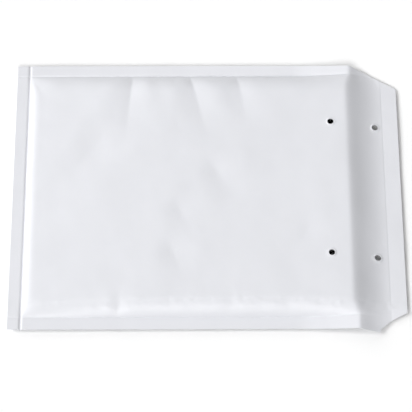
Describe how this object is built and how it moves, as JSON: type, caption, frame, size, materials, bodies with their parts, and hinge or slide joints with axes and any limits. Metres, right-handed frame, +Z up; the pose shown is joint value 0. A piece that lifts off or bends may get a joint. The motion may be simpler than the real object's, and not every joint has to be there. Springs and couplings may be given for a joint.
{
  "type": "padded envelope",
  "caption": "White kraft padded envelope with a bubble film lining, open mouth, unsealed flap and punched fastener holes.",
  "frame": {"origin": "centre of the footprint, on the surface that the envelope lies on", "axes": "+X along the length towards the flap, +Z up"},
  "size_m": [0.3124, 0.2432, 0.0137],
  "materials": {
    "white_kraft": "smooth white kraft paper with a slight satin sheen",
    "bubble_film": "clear polyethylene bubble film",
    "hot_melt": "tacky hot-melt adhesive",
    "release_paper": "siliconised release paper"
  },
  "bodies": {
    "root": {"upper_panel": "white_kraft", "lower_panel": "white_kraft", "upper_film": "bubble_film", "lower_film": "bubble_film", "seal_adhesive": "hot_melt", "release_strip": "release_paper"}
  },
  "joints": []
}
